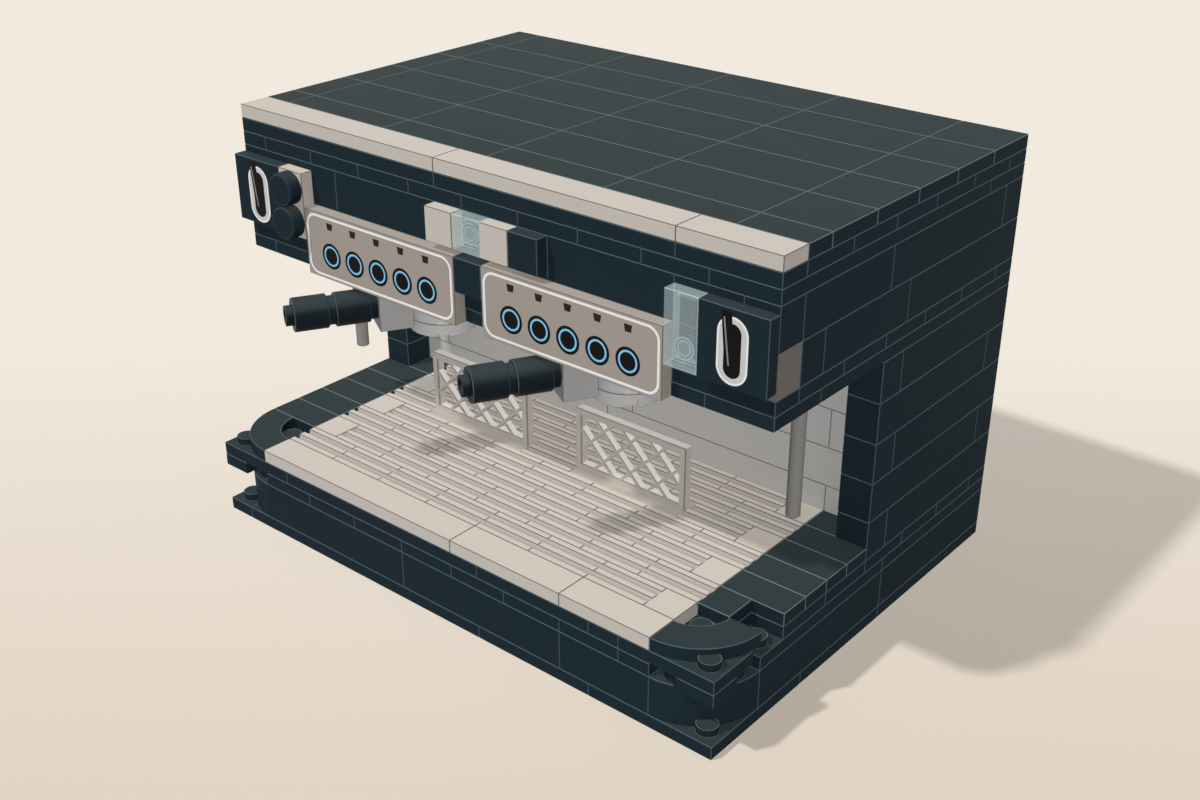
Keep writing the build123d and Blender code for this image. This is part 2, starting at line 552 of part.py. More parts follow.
# Coffee groups: fixed mounts, and portafilters that turn about them
mounts = [group_mount().moved(spot(x, GROUP_Y_SHARE, HEAD_SHARE)) for x in GROUP_X_SHARES.values()]
write("group_mounts", mounts)
for side, x in GROUP_X_SHARES.items():
    axis = spot(x, GROUP_Y_SHARE, 0)
    where = spot(x, GROUP_Y_SHARE, 0, (0, 0, -HANDLE_TURN))
    write(f"portafilter_basket_{side}", [portafilter_basket().moved(where)])
    write(f"portafilter_spout_{side}", [portafilter_spout().moved(axis)])
    write(f"portafilter_holder_{side}", [portafilter_holder().moved(where)])
    write(f"portafilter_stem_{side}", [portafilter_stem().moved(where)])
    write(f"portafilter_grip_{side}", [portafilter_grip(index).moved(where) for index in range(GRIP_COUNT)])

# Steam wands in their sockets
write("wand_sockets", [wand_socket().moved(spot(x, WAND_Y_SHARE, 0)) for x in WAND_X_SHARES.values()])
for side, x in WAND_X_SHARES.items():
    write(f"wand_{side}", [wand().moved(spot(x, WAND_Y_SHARE, 0))])
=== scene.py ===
"""Dress a block-built coffee machine: moulded plastics, printed faces, studio light and camera."""

import bmesh
import bpy
import numpy as np
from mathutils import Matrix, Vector


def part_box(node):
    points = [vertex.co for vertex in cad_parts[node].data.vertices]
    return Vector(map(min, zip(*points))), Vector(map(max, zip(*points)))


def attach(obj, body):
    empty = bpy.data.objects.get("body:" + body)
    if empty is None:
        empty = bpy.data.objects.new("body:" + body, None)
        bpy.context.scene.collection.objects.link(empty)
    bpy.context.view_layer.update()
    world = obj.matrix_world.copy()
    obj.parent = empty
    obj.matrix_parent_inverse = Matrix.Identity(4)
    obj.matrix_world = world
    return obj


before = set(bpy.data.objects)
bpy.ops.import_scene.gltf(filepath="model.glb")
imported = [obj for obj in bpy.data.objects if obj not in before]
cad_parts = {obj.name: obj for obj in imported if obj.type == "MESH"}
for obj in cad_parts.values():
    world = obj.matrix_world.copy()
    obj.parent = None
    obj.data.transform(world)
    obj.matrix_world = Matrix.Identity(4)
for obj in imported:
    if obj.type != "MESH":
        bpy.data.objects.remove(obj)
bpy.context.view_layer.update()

bl_info = {
    "name": "Block coffee machine",
    "version": (1, 0, 0),
    "blender": (4, 5, 0),
    "location": "3D View > Sidebar > Coffee",
    "description": "Gives the block coffee machine its plastics, prints, light and camera",
    "category": "Object",
}

MM = 0.001
MACHINE = "machine"
SIDES = ("left", "right")
UP, FRONT = (0, 0, 1), (0, -1, 0)
HANDLE_AXIS = (-0.5, -0.866, 0)  # along both handles
ARC_STEPS = 12         # points on a quarter circle
LAYERS = 5             # faces of the ink on a switch tile, from the tile outwards
MERGE = 1e-7           # points closer than this are one point
SENSOR = 36.0          # width of the camera's frame, in millimetres
NEAR_CLIP = 0.01       # nearest distance that the camera shows

# Leans of a face's normal, as shares of its length
BEVEL_LEAN = 0.712     # no part of a square block's bevel reaches it
ROUND_LEAN, ROUND_SPAN = 0.7, 0.1  # a round block's bevel, along the block's axis
FLAT_LEAN = 0.9        # from here on a face lies across an axis
SIDE_LEAN = 0.5        # up to here a face runs along an axis
TOP_LIGHT_LEANS = (0.25, 0.95)  # where the painted top light starts, and where it is full

# Unevenness of moulded ABS, as shares
TONE_SPAN, ROUGH_SPAN = 0.02, 0.02
HAZE_FROM, HAZE_TO = 0.3, 0.7  # the part of a noise's range that is used
GRAIN_STRENGTH, GRAIN_DEPTH = 0.08, 0.1

# How much clear plastic covers: seen straight, along its face and at its bevels
CLEAR_STRAIGHT, CLEAR_ALONG, CLEAR_BEVEL = 0.12, 0.5, 0.7
CLEAR_BLEND = 0.35

# Unevenness of printed ink
INK_SPECK = 0.8 * MM
INK_LOW = 0.94         # tone of the thin spots, as a share

# Kinds of node
PLACE, NOISE, SPLIT = "ShaderNodeTexCoord", "ShaderNodeTexNoise", "ShaderNodeSeparateXYZ"
MATHS, VECTORS, RANGE, MIX = "ShaderNodeMath", "ShaderNodeVectorMath", "ShaderNodeMapRange", "ShaderNodeMix"


def linear(code):
    """Turn an sRGB hex colour into linear RGBA: c/12.92 below 0.04045, ((c+0.055)/1.055)^2.4 above."""
    srgb = np.array([int(code[i:i + 2], 16) for i in (1, 3, 5)]) / 255
    return (*np.where(srgb <= 0.04045, srgb / 12.92, ((srgb + 0.055) / 1.055) ** 2.4).tolist(), 1.0)


def colour(label, words, code):
    """A colour setting, given as an sRGB hex value."""
    return bpy.props.FloatVectorProperty(name=label, description=words, subtype="COLOR", size=4, min=0, max=1,
                                         default=linear(code))


def length(label, words, size):
    """A length setting, given in millimetres and kept in metres."""
    return bpy.props.FloatProperty(name=label, description=words, unit="LENGTH", precision=5,
                                   default=size * MM)


def amount(label, words, size, **kind):
    """A setting that is a plain number."""
    return bpy.props.FloatProperty(name=label, description=words, default=size, **kind)


def pairs(label, words, *points):
    """A setting of pairs of lengths, such as the corners of an outline, in millimetres but kept in metres."""
    return bpy.props.FloatVectorProperty(name=label, description=words, size=2 * len(points), unit="LENGTH",
                                         default=[part * MM for point in points for part in point])


def direction(label, words, turn):
    """A setting that holds a direction."""
    return bpy.props.FloatVectorProperty(name=label, description=words, size=3, subtype="DIRECTION",
                                         default=turn)


class PlasticSettings(bpy.types.PropertyGroup):
    """Colours of the moulded blocks and of the fine lines along their edges. The lines are painted: on dark
    blocks lighter, as highlights on the bevels; on pale and grey blocks darker, as shade in the seams.
    """

    dark: colour("Dark", "Dark blocks", "#212f36")
    # Painted sheen: the tops of dark blocks, and the upper sides of grips and knobs, are painted paler as if
    # light gleamed on them
    dark_top_sheen: colour("Dark tops", "Tops of dark blocks, greyed by dust", "#343f41")
    # Painted highlights: lines lighter than the dark blocks, where light would catch their bevels
    dark_line: colour("Dark line", "Edges of dark blocks", "#4c5a62")
    tile_line: colour("Dark tile line", "Edges of dark tiles that lie flat", "#667274")
    knob_line: colour("Knob line", "Edges of the knobs", "#3f4d54")
    grip: colour("Grip", "Grips of the portafilters", "#161f26")
    pale: colour("Pale", "Pale tiles", "#cfc7bc")
    # Painted shade: lines darker than the pale blocks, where shade would lie in their seams
    pale_line: colour("Pale line", "Edges of pale tiles", "#6e6963")
    grey: colour("Grey", "Inner wall and groups", "#c5c4c2")
    holder: colour("Holder", "Square holders of the grips", "#a9a8a6")
    grey_line: colour("Grey line", "Edges of grey blocks", "#797673")
    panel: colour("Panel", "Button panels", "#aca298")
    # Painted shade: the grooves' walls, and more so their foot, are painted darker than the grilles' tops, as
    # the shade in the grooves
    groove_wall_shade: colour("Groove", "Walls of the grilles' grooves", "#c7c2bc")
    groove_foot_shade: colour("Groove foot", "Foot of the grilles' grooves", "#a59f97")
    fence: colour("Fence", "Fences on the tray", "#c6c1bb")
    # Painted light: the fences' tops are painted paler, as if more light fell on them
    fence_top_light: colour("Fence tops", "Tops of the fences' rails and slats, paled by dust", "#e9e4dc")
    # Painted shade: the fences' feet, of the same plastic, are painted darker than the rest of the fence
    fence_foot_shade: colour("Fence foot", "Feet of the fences", "#b6afa4")
    fence_line: colour("Fence line", "Edges of the fences' frames and slats", "#6f6a65")
    tan: colour("Tan", "Corner blocks of the head", "#7f7870")
    clear: colour("Clear", "Clear tiles", "#d4e6e8")
    clear_line: colour("Clear line", "Edges of clear tiles", "#b7caca")
    wand: colour("Wand", "Steam wands", "#908e8b")
    roughness: amount("Roughness", "Roughness of the moulded faces", 0.42, min=0, max=1, subtype="FACTOR")
    ior: amount("IOR", "Gloss of the blocks", 1.05, min=1, max=2)
    grip_ior: amount("Grip IOR", "Gloss of the grips", 1.15, min=1, max=2)
    frame_thick: length("Fence frame", "Thickness of a fence's frame", 2.4)
    slat_thick: length("Fence slats", "Thickness of a fence's slats", 1.8)
    foot_tall: length("Fence foot", "Height of a fence's foot", 3.25)
    edge: length("Line", "Width of the fine lines along edges that have no bevel", 0.14)
    stud: length("Stud", "Radius of a stud", 2.4)
    pitch: length("Pitch", "From stud to stud", 8.0)
    stud_line: length("Stud line", "Width of the lines round studs", 0.21)
    arc: length("Arc", "Radius of the round corner tiles' inner edge", 8.16)
    arc_out: length("Outer arc", "Radius of the round corner tiles' outer edge", 16.0)
    arc_line: length("Arc line", "Width of the lines along the round corner tiles' inner edge", 0.28)
    knob_face: length("Knob face", "Radius of a knob's flat front", 3.6)
    rim: length("Fence rims", "Width of the lines along a fence's frame and slats", 0.2)
    bar_edge: length("Bar edges", "Height of the bevels along a grille's bars", 0.16)
    groove_shade: length("Groove shade", "Depth from which a grille's grooves are dark", 0.93)
    # The mould's real grain is too fine to show, so it is drawn coarser
    grain: length("Grain", "Size of the fine grain that the mould leaves", 0.35)
    flow: length("Flow", "Size of the faint cloudiness where the plastic flowed", 14)
    haze: length("Haze", "Size of the faint unevenness of the gloss", 7)


class PrintSettings(bpy.types.PropertyGroup):
    """Colours and sizes of the prints on panels and switch tiles."""

    white: colour("White ink", "Outlines", "#fffdfa")
    plate: colour("Grey ink, plates", "Plates of the switches", "#d9d8d4")
    black: colour("Black ink", "Buttons, slots and levers", "#171616")
    blue: colour("Blue ink", "Rings of the buttons", "#88d8ff")
    brown: colour("Brown ink", "Cup marks", "#33261d")
    shine: colour("Grey ink", "Highlight on the levers", "#8d9296")
    ink: length("Ink", "Thickness of one layer of ink", 0.02)
    margin: length("Margin", "From a panel's edge to its outline", 0.6)
    stroke: length("Stroke", "Width of the outline", 0.55)
    corner: length("Corner", "Outer corner radius of the outline", 3.0)
    button: length("Button", "Radius of a button", 3.1)
    ring_out: length("Ring, outside", "Outer radius of a button's ring", 2.42)
    ring_in: length("Ring, inside", "Inner radius of a button's ring", 1.98)
    button_step: length("Button step", "From button to button", 7.77)
    button_up: length("Button height", "From a panel's lower edge to its buttons", 6.06)
    buttons: bpy.props.IntProperty(name="Buttons", description="Buttons on one panel", min=1, default=5)
    cup_up: length("Cup height", "From a panel's lower edge to its cup marks", 13.16)
    cup_top: length("Cup top", "Width of a cup mark's upper edge", 2.07)
    cup_foot: length("Cup foot", "Width of a cup mark's lower edge", 1.5)
    cup_tall: length("Cup", "Height of a cup mark", 1.6)
    switch_size: pairs("Switch plate", "Width and height of a switch's plate", (7.05, 13.75))
    switch_at: pairs("Switch place", "Middle of the plate on its tile", (7.98, 7.5))
    switch_rim: length("Switch rim", "Width of the white rim round a switch's plate", 0.42)
    slot_size: pairs("Slot", "Width and height of the slot in the plate", (3.85, 10.95))
    lever: pairs("Lever", "Corners of the lever on its tile", (6.4, 4.3), (8.6, 4.3), (7.6, 15.2),
                 (5.25, 15.2))
    glint: pairs("Glint", "Corners of the lever's highlight", (7.1, 4.45), (7.45, 4.45), (6.15, 13.95),
                 (5.8, 13.95))
    stud: length("Stud", "Radius of a stud that shows through a clear tile", 2.38)
    stud_tall: length("Stud height", "Height of a stud", 1.7)
    stud_hole: length("Stud hollow", "Radius of the hollow in such a stud", 1.6)
    stud_rim: length("Stud rim", "Width of the lines round a stud and its hollow", 0.22)
    stud_up: length("Stud place", "From a clear tile's lower edge to its stud", 4.0)
    clear_stud: colour("Clear stud", "Face of a stud behind a clear tile", "#5d6d70")
    clear_rim: colour("Clear rim", "Rims of a stud behind a clear tile", "#a9b9ba")


class StageSettings(bpy.types.PropertyGroup):
    """Floor, light and camera."""

    # Painted light: the fade from the near to the far colour stands in for light falling unevenly on one
    # plain paper
    floor_near: colour("Floor, near", "Floor in front of the machine", "#e0d3c3")
    floor_far: colour("Floor, far", "Floor behind the machine", "#f1e9dd")
    floor_turn: direction("Floor turn", "Way in which the floor gets paler", (-0.643, 0.766, 0))
    floor_fade: pairs("Floor fade", "Where the floor's fade starts and ends", (-100, 100))
    floor_bounce: colour("Floor, bounce", "Floor as the blocks' own light sees it", "#93959a")
    floor_size: length("Floor size", "Length of the floor's sides", 8000)
    sun_turn: direction("Sun", "Direction towards the main light", (-0.39, -0.635, 1.0))
    sun: amount("Sun strength", "Strength of the main light", 1.5)
    sun_size: amount("Sun size", "Angle of the main light", 0.05, subtype="ANGLE")
    fill_turn: direction("Fill", "Direction towards the shadowless fill light", (0.453, -0.488, 0.746))
    fill: amount("Fill strength", "Strength of the fill light", 2.29)
    back_turn: direction("Back", "Direction towards the shadowless back light", (-0.62, 0.78, 0))
    back: amount("Back strength", "Strength of the back light", 1.3)
    sky: amount("Sky strength", "Strength of the light from all round", 0.08)
    backdrop: colour("Backdrop", "World where it is seen", "#efe7db")
    lens: amount("Lens", "Focal length on a 36 mm frame", 44.646, unit="CAMERA")
    camera: bpy.props.FloatVectorProperty(name="Camera", description="Where the camera stands", size=3,
                                          subtype="TRANSLATION", unit="LENGTH",
                                          default=(0.20806, -0.24756, 0.19740))
    aim: direction("Aim", "Direction in which the camera looks", (-0.5739, 0.6836, -0.4510))


def node(tree, kind, inputs=None, **settings):
    """Add a node with its settings; an input takes a value, an output, or a node for its first output."""
    made = tree.nodes.new(kind)
    for name, value in settings.items():
        setattr(made, name, value)
    for key, value in (inputs or {}).items():
        if isinstance(value, bpy.types.Node):
            value = next(output for output in value.outputs if output.enabled)
        if isinstance(value, bpy.types.NodeSocket):
            tree.links.new(value, made.inputs[key])
        else:
            made.inputs[key].default_value = value
    return made


def surface(name, links, values):
    """Start a material: one Principled shader whose constant values are set on its own sockets."""
    material = bpy.data.materials.new(name)
    material.use_nodes = True
    tree = material.node_tree
    tree.nodes.clear()
    built = {socket: build(tree) for socket, build in links.items()}
    shader = node(tree, "ShaderNodeBsdfPrincipled", {**values, **built})
    node(tree, "ShaderNodeOutputMaterial", {"Surface": shader}, is_active_output=True)
    return material


def leaning(tree, where):
    """The sizes of the three parts of a face's normal."""
    size = node(tree, VECTORS, {0: where.outputs["Normal"]}, operation="ABSOLUTE")
    return node(tree, SPLIT, {0: size}).outputs


def square_edges(tree, where):
    """One on the bevels of square blocks: they lean 45 degrees, so no part of their normal is large."""
    x, y, z = leaning(tree, where)
    level = node(tree, MATHS, {0: x, 1: y}, operation="MAXIMUM")
    most = node(tree, MATHS, {0: level, 1: z}, operation="MAXIMUM")
    return node(tree, MATHS, {0: most, 1: BEVEL_LEAN}, operation="LESS_THAN")


def round_edges(axis):
    """One on the bevels of round blocks: there the normal leans about 45 degrees towards the block's axis."""

    def mask(tree, where):
        along = node(tree, VECTORS, {0: where.outputs["Normal"], 1: axis}, operation="DOT_PRODUCT")
        lean = node(tree, MATHS, {0: along}, operation="ABSOLUTE")
        return node(tree, MATHS, {0: lean, 1: ROUND_LEAN, 2: ROUND_SPAN}, operation="COMPARE")

    return mask


def painted_top_light(tree, where):
    """From zero on upright faces to one on level tops: where light is painted on as a paler tone."""
    up = node(tree, SPLIT, {0: where.outputs["Normal"]}).outputs[2]
    start, full = TOP_LIGHT_LEANS
    return node(tree, RANGE, {0: up, 1: start, 2: full}, interpolation_type="SMOOTHSTEP")


def below(height):
    """One below a height."""

    def mask(tree, where):
        up = node(tree, SPLIT, {0: where.outputs["Object"]}).outputs[2]
        return node(tree, MATHS, {0: up, 1: height}, operation="LESS_THAN")

    return mask


def rim_behind(front, width):
    """One on the sides of upright slats, within a width behind their front."""

    def mask(tree, where):
        deep = node(tree, SPLIT, {0: where.outputs["Object"]}).outputs[1]
        near = node(tree, MATHS, {0: deep, 1: front + width / 2, 2: width / 2}, operation="COMPARE")
        side = node(tree, MATHS, {0: leaning(tree, where)[1], 1: SIDE_LEAN}, operation="LESS_THAN")
        return node(tree, MATHS, {0: near, 1: side}, operation="MULTIPLY")

    return mask


def ring(centre, radius, width, axis, pitch=None):
    """One on flat faces across an axis, within a width inside a circle about it; a pitch repeats the circle.
    The distance from the axis is the length of the cross product of the place with the axis."""

    def mask(tree, where):
        away = node(tree, VECTORS, {0: where.outputs["Object"], 1: centre}, operation="SUBTRACT")
        if pitch:
            high, low = (pitch / 2,) * 3, (-pitch / 2,) * 3
            away = node(tree, VECTORS, {0: away, 1: high, 2: low}, operation="WRAP")
        around = node(tree, VECTORS, {0: away, 1: axis}, operation="CROSS_PRODUCT")
        far = node(tree, VECTORS, {0: around}, operation="LENGTH")
        near = node(tree, MATHS, {0: far, 1: radius - width / 2, 2: width / 2}, operation="COMPARE")
        lean = node(tree, VECTORS, {0: where.outputs["Normal"], 1: axis}, operation="DOT_PRODUCT")
        flat = node(tree, MATHS, {0: lean, 1: FLAT_LEAN}, operation="GREATER_THAN")
        return node(tree, MATHS, {0: near, 1: flat}, operation="MULTIPLY")

    return mask


def front_corners(right, front, width):
    """One along the upright edges at both front corners."""

    def mask(tree, where):
        x, y, _ = node(tree, SPLIT, {0: where.outputs["Object"]}).outputs
        size = node(tree, MATHS, {0: x}, operation="ABSOLUTE")
        outside = node(tree, MATHS, {0: size, 1: right - width}, operation="GREATER_THAN")
        ahead = node(tree, MATHS, {0: y, 1: front + width}, operation="LESS_THAN")
        return node(tree, MATHS, {0: outside, 1: ahead}, operation="MULTIPLY")

    return mask


def moulded(name, tone, *coats, ior=None):
    """Moulded ABS: an even satin that gleams only along the face, so its IOR of 1.54 is matched down. The eye
    sees a fine grain from the mould, a faint cloudiness where the plastic flowed, and coats, each a mask and
    its colour: the thin lines along the bevels, painted as highlights or shade, painted light on tops, and
    painted shade in grooves."""
    look = bpy.context.scene.block_plastics

    def paint(tree):
        where = node(tree, PLACE)
        flow = node(tree, NOISE, {"Vector": where.outputs["Object"], "Scale": 1 / look.flow, "Detail": 2.0})
        low, high = (tuple(min(part * share, 1) for part in tone[:3]) + (1,)
                     for share in (1 - TONE_SPAN, 1 + TONE_SPAN))
        shade = node(tree, MIX, {0: flow, 6: low, 7: high}, data_type="RGBA")
        for mask, coat in coats:
            shade = node(tree, MIX, {0: mask(tree, where), 6: shade, 7: coat}, data_type="RGBA")
        return shade

    def gloss(tree):
        where = node(tree, PLACE)
        haze = node(tree, NOISE, {"Vector": where.outputs["Object"], "Scale": 1 / look.haze, "Detail": 4.0})
        smooth, rough = look.roughness - ROUGH_SPAN, look.roughness + ROUGH_SPAN
        return node(tree, RANGE, {0: haze, 1: HAZE_FROM, 2: HAZE_TO, 3: smooth, 4: rough})

    def grain(tree):
        where = node(tree, PLACE)
        grit = node(tree, NOISE, {"Vector": where.outputs["Object"], "Scale": 1 / look.grain, "Detail": 2.0})
        return node(tree, "ShaderNodeBump", {"Height": grit, "Strength": GRAIN_STRENGTH,
                                             "Distance": look.grain * GRAIN_DEPTH})

    return surface(name, {"Base Color": paint, "Roughness": gloss, "Normal": grain}, {"IOR": ior or look.ior})


def clear_plastic(name, tone, edge):
    """Clear polycarbonate, IOR 1.58: see-through with a cool tint, denser at its edges and along its face."""

    def cover(tree):
        where = node(tree, PLACE)
        facing = node(tree, "ShaderNodeLayerWeight", {"Blend": CLEAR_BLEND}).outputs["Facing"]
        face = node(tree, RANGE, {0: facing, 1: 0.0, 2: 1.0, 3: CLEAR_STRAIGHT, 4: CLEAR_ALONG})
        rim = node(tree, MATHS, {0: square_edges(tree, where), 1: CLEAR_BEVEL}, operation="MULTIPLY")
        return node(tree, MATHS, {0: face, 1: rim}, operation="MAXIMUM")

    def paint(tree):
        where = node(tree, PLACE)
        return node(tree, MIX, {0: square_edges(tree, where), 6: tone, 7: edge}, data_type="RGBA")

    return surface(name, {"Alpha": cover, "Base Color": paint}, {"IOR": 1.58, "Roughness": 0.25})


def ink(name, tone):
    """Pad-printed ink: a thin satin film with a faint unevenness in its cover."""

    def paint(tree):
        where = node(tree, PLACE)
        speck = node(tree, NOISE, {"Vector": where.outputs["Object"], "Scale": 1 / INK_SPECK})
        low = tuple(part * INK_LOW for part in tone[:3]) + (1,)
        return node(tree, MIX, {0: speck, 6: low, 7: tuple(tone)}, data_type="RGBA")

    return surface(name, {"Base Color": paint}, {"IOR": 1.12, "Roughness": 0.45})


def dress(material, *names):
    """Give CAD nodes a material."""
    for name in names:
        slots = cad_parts[name].data.materials
        slots.clear()
        slots.append(material)


def rounded(width, tall, radius, middle):
    """Outline of a rounded rectangle: each corner's centre plus radius times (cos a, sin a), by quarters."""
    quarter = np.linspace(0, np.pi / 2, ARC_STEPS)
    turn = np.concatenate([quarter + corner * np.pi / 2 for corner in range(4)])
    right = np.repeat([1, -1, -1, 1], ARC_STEPS) * (width / 2 - radius)
    up = np.repeat([1, 1, -1, -1], ARC_STEPS) * (tall / 2 - radius)
    across, along = right + radius * np.cos(turn), up + radius * np.sin(turn)
    return np.stack([middle[0] + across, middle[1] + along], axis=1)


def disc(radius, middle):
    """Outline of a circle."""
    return rounded(2 * radius, 2 * radius, radius, middle)


def film(outline, back, front, inner=None):
    """A closed film of ink, upright and facing -Y: its outline at the back and the front, joined by its rim,
    and either both sides drawn in to the middle or, with an inner outline, a second rim."""
    if inner is None:
        hole = np.repeat(outline.mean(axis=0)[None], len(outline), axis=0)
    else:
        hole = inner
    loops = [(hole, back), (outline, back), (outline, front), (hole, front)]
    rings = [np.stack([flat[:, 0], np.full(len(flat), y), flat[:, 1]], axis=1) for flat, y in loops]
    return grid_mesh(np.stack(rings), inner is not None)


def grid_mesh(points, ring):
    """Vertices and faces of a closed grid of loops; a ring also joins its last loop to its first."""
    rows, columns = points.shape[:2]
    order = np.arange(rows * columns).reshape(rows, columns)
    after = np.roll(order, -1, axis=0)
    quads = np.stack([order, after, np.roll(after, -1, axis=1), np.roll(order, -1, axis=1)], axis=-1)
    return points.reshape(-1, 3), (quads if ring else quads[:-1]).reshape(-1, 4)


def piece(name, shapes, material):
    """Make one object of closed shapes, let it ride on the machine and take the slot's finish."""
    starts = np.cumsum([0] + [len(points) for points, _ in shapes])
    points = np.concatenate([points for points, _ in shapes])
    faces = np.concatenate([quads + start for (_, quads), start in zip(shapes, starts)])
    mesh = bpy.data.meshes.new(name)
    mesh.from_pydata(points.tolist(), [], faces.tolist())
    made = bpy.data.objects.new(name, mesh)
    bpy.context.collection.objects.link(made)
    tidy_mesh(mesh)
    mesh.materials.append(material)
    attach(made, MACHINE)


def tidy_mesh(mesh):
    """Merge the doubled points at the middles, and point every face outwards."""
    work = bmesh.new()
    work.from_mesh(mesh)
    bmesh.ops.remove_doubles(work, verts=work.verts, dist=MERGE)
    bmesh.ops.recalc_face_normals(work, faces=work.faces)
    work.to_mesh(mesh)
    work.free()


class COFFEE_OT_base(bpy.types.Operator):
    """Dress the base: dark plates, bricks, corners and arms"""

    bl_idname = "coffee.base"
    bl_label = "Base"

    def execute(self, context):
        look = context.scene.block_plastics
        # The paler coat on the tops is painted sheen, not a colour of the plastic
        top_light_coat = (painted_top_light, look.dark_top_sheen)
        lines = (square_edges, look.dark_line)
        around = ring((0, look.pitch / 2, 0), look.stud + look.edge / 2, look.stud_line, UP, look.pitch)
        dress(moulded("dark moulded ABS", look.dark, top_light_coat, lines, (around, look.tile_line)),
              "base_plates", "base_wall_bricks", "base_inner_bricks", "deck_lower_plates",
              "deck_upper_plates", "corner_upper_plates")
        dress(moulded("dark moulded ABS, arms", look.dark, top_light_coat, (square_edges, look.tile_line)),
              "arm_tiles_left", "arm_tiles_right")
        round_lines = (round_edges(UP), look.dark_line)
        dress(moulded("dark moulded ABS, round corners", look.dark, top_light_coat, round_lines), "base_round_bricks")
        low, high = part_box("corner_lower_plates")
        feet = [(below(low[2] + look.edge), look.dark_line),
                (front_corners(high[0], low[1], look.edge), look.dark_line)]
        dress(moulded("dark moulded ABS, corner feet", look.dark, top_light_coat, round_lines, *feet),
              "corner_lower_plates")
        low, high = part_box("corner_round_tiles")
        right, back = high[0] - look.arc_out, low[1] + look.arc_out
        arcs = [(ring((x, back, 0), look.arc + look.arc_line, look.arc_line, UP), look.tile_line)
                for x in (-right, right)]
        dress(moulded("dark moulded ABS, round tiles", look.dark, top_light_coat, round_lines, *arcs),
              "corner_round_tiles")
        return {"FINISHED"}


class COFFEE_OT_tray(bpy.types.Operator):
    """Dress the tray: pale tiles and grilles, grey fences"""

    bl_idname = "coffee.tray"
    bl_label = "Tray"

    def execute(self, context):
        look = context.scene.block_plastics
        lines = (square_edges, look.pale_line)
        dress(moulded("pale moulded ABS", look.pale, lines), "tray_front_tiles", "tray_end_tiles")
        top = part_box("grille_tiles")[1][2]
        # Painted shade in the grooves: below the bars' edges the walls are painted darker, and darker still
        # at their foot
        walls = (below(top - look.bar_edge), look.groove_wall_shade)
        feet = (below(top - look.groove_shade), look.groove_foot_shade)
        dress(moulded("pale moulded ABS, grilles", look.pale, walls, lines, feet), "grille_tiles")
        low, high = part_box("fence_left")
        middle = (low[1] + high[1]) / 2
        rims = [(rim_behind(middle - thick / 2, look.rim), look.fence_line)
                for thick in (look.frame_thick, look.slat_thick)]
        # The foot is painted darker, as painted shade
        foot = (below(low[2] + look.foot_tall), look.fence_foot_shade)
        # The fences' tops are painted paler, as painted light
        dress(moulded("pale moulded ABS, fences", look.fence, (painted_top_light, look.fence_top_light), *rims, foot),
              "fence_left", "fence_right")
        return {"FINISHED"}


class COFFEE_OT_body(bpy.types.Operator):
    """Dress the body and the head: dark walls, floors and roofs, grey inner wall, tan corners"""

    bl_idname = "coffee.body"
    bl_label = "Body and head"

    def execute(self, context):
        look = context.scene.block_plastics
        # The paler coat on the tops is painted sheen
        top_light_coat = (painted_top_light, look.dark_top_sheen)
        dress(moulded("dark moulded ABS, walls", look.dark, top_light_coat, (square_edges, look.dark_line)),
              "side_bricks_left", "side_bricks_right", "back_bricks", "floor_lower_plates",
              "floor_upper_plates", "face_stud_bricks", "face_upper_bricks", "head_bricks_left",
              "head_bricks_right", "head_bricks_back", "roof_lower_plates", "roof_upper_plates")
        dress(moulded("dark moulded ABS, roof tiles", look.dark, top_light_coat, (square_edges, look.tile_line)),
              "roof_tiles")
        dress(moulded("grey moulded ABS, wall", look.grey, (square_edges, look.grey_line)),
              "inner_wall_bricks")
        pale_lines = (square_edges, look.pale_line)
        dress(moulded("tan moulded ABS", look.tan, pale_lines), "face_corner_bricks")
        dress(moulded("pale moulded ABS, roof", look.pale, pale_lines), "roof_front_tiles")
        return {"FINISHED"}


class COFFEE_OT_face(bpy.types.Operator):
    """Dress the face: panels, switch tiles, small tiles, clear tiles and knobs"""

    bl_idname = "coffee.face"
    bl_label = "Face"

    def execute(self, context):
        look = context.scene.block_plastics
        pale_lines, dark_lines = (square_edges, look.pale_line), (square_edges, look.dark_line)
        dress(moulded("panel moulded ABS", look.panel, pale_lines), "panel_left", "panel_right")
        # The paler coat on the tops and on the knobs' upper sides is painted sheen
        top_light_coat = (painted_top_light, look.dark_top_sheen)
        dress(moulded("dark moulded ABS, face", look.dark, top_light_coat, dark_lines),
              "switch_tiles", "face_dark_tiles")
        dress(moulded("pale moulded ABS, face", look.pale, pale_lines), "face_pale_tiles", "knob_plate")
        dress(clear_plastic("clear polycarbonate", look.clear, look.clear_line),
              "face_clear_tile", "side_clear_tile")
        for knob in ("knob_lower", "knob_upper"):
            low, high = (np.array(corner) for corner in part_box(knob))
            circle = ring(((low + high) / 2).tolist(), look.knob_face, look.edge, FRONT)
            dress(moulded(f"dark moulded ABS, {knob}", look.dark, top_light_coat, (circle, look.knob_line)), knob)
        return {"FINISHED"}


